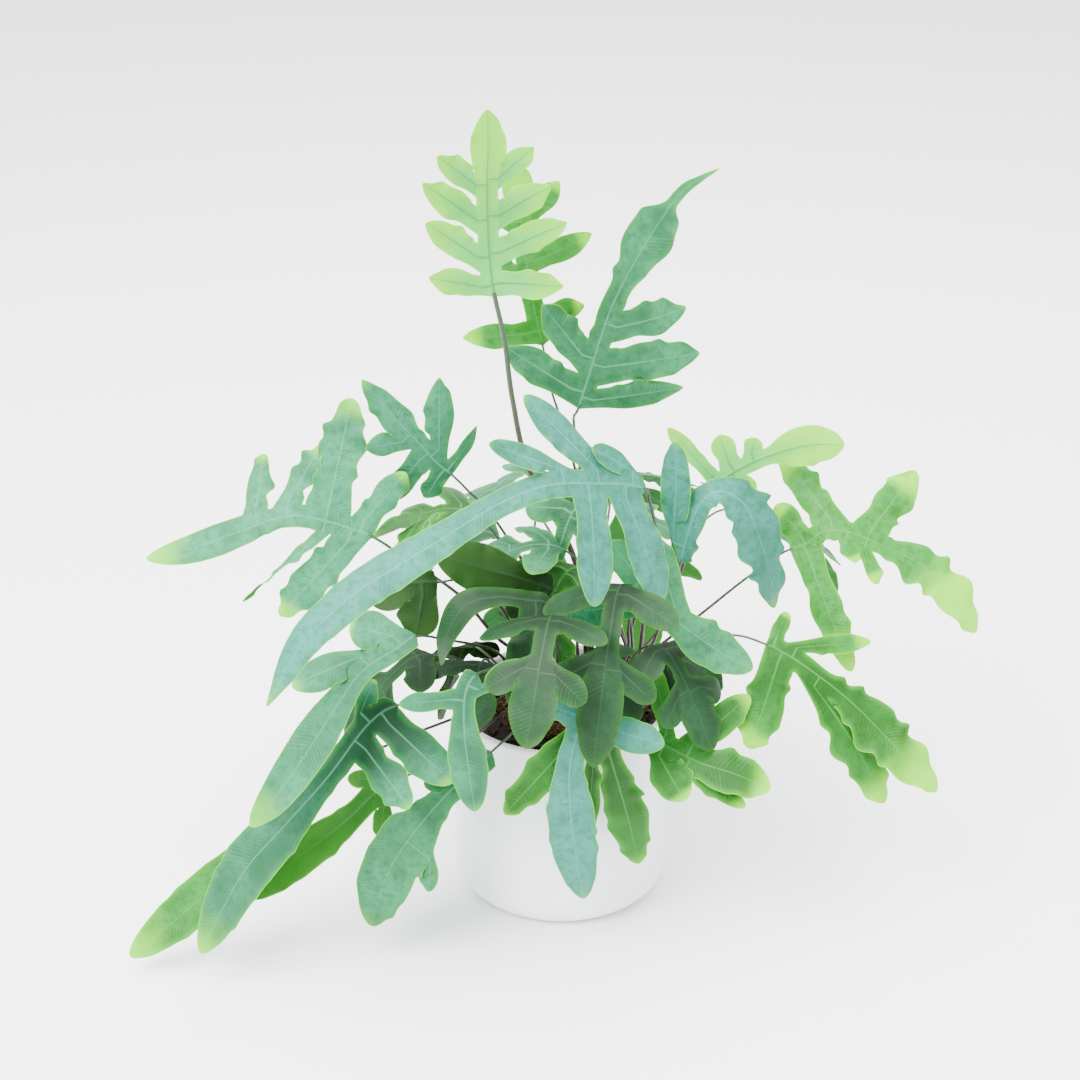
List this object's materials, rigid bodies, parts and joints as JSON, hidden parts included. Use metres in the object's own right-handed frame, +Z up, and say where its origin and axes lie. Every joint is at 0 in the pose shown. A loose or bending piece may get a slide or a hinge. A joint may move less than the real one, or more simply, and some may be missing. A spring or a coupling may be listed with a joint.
{
  "type": "potted fern",
  "caption": "Bushy fern with lobed blue-green fronds on wiry stalks, rooted in potting mix in a plain round white ceramic pot.",
  "frame": {"origin": "centre of the pot's flat underside", "axes": "+Z up along the pot's axis, -Y towards the plant's front, +X to its right seen from the front"},
  "size_m": [0.5632, 0.3806, 0.5431],
  "materials": {
    "pot": "satin white glaze",
    "soil": "rough dark potting mix",
    "rhizome": "furry golden-brown scales",
    "leaf": "waxy blue-green, paler veins",
    "young_leaf": "waxy bright green, darker veins",
    "stalk": "smooth wiry brown"
  },
  "bodies": {
    "root": {"pot": "pot", "soil": "soil", "rhizome_back": "rhizome", "rhizome_left": "rhizome", "rhizome_front": "rhizome", "frond_upper_left": "leaf", "frond_back_left": "leaf", "frond_top_young": "young_leaf", "frond_top_rear": "leaf", "frond_back": "leaf", "frond_upper_right": "leaf", "frond_back_right": "leaf", "frond_right_bright": "young_leaf", "frond_far_right": "leaf", "frond_low_left_outer": "leaf", "frond_left_strap": "leaf", "frond_inner_left_low": "young_leaf", "frond_left": "leaf", "frond_inner_left": "leaf", "frond_inner_front": "young_leaf", "frond_lower_left": "leaf", "frond_low_left_pale": "young_leaf", "frond_low_left_broad": "leaf", "frond_front_narrow": "leaf", "frond_front_hanging": "leaf", "frond_front_second": "young_leaf", "frond_low_right": "young_leaf", "frond_centre_right": "leaf", "frond_inner_right": "young_leaf", "frond_lower_right": "young_leaf", "frond_front_arch": "leaf", "frond_right_arch": "leaf", "frond_short_01": "leaf", "frond_short_02": "leaf", "frond_short_03": "leaf", "frond_short_04": "leaf", "frond_short_05": "leaf", "frond_short_06": "leaf", "frond_short_07": "leaf", "frond_short_08": "leaf", "frond_short_09": "leaf", "frond_short_10": "leaf", "frond_short_11": "leaf", "frond_short_12": "leaf", "frond_short_13": "leaf", "frond_short_14": "leaf", "frond_short_15": "leaf", "frond_short_16": "leaf", "frond_short_17": "leaf"}
  },
  "joints": []
}
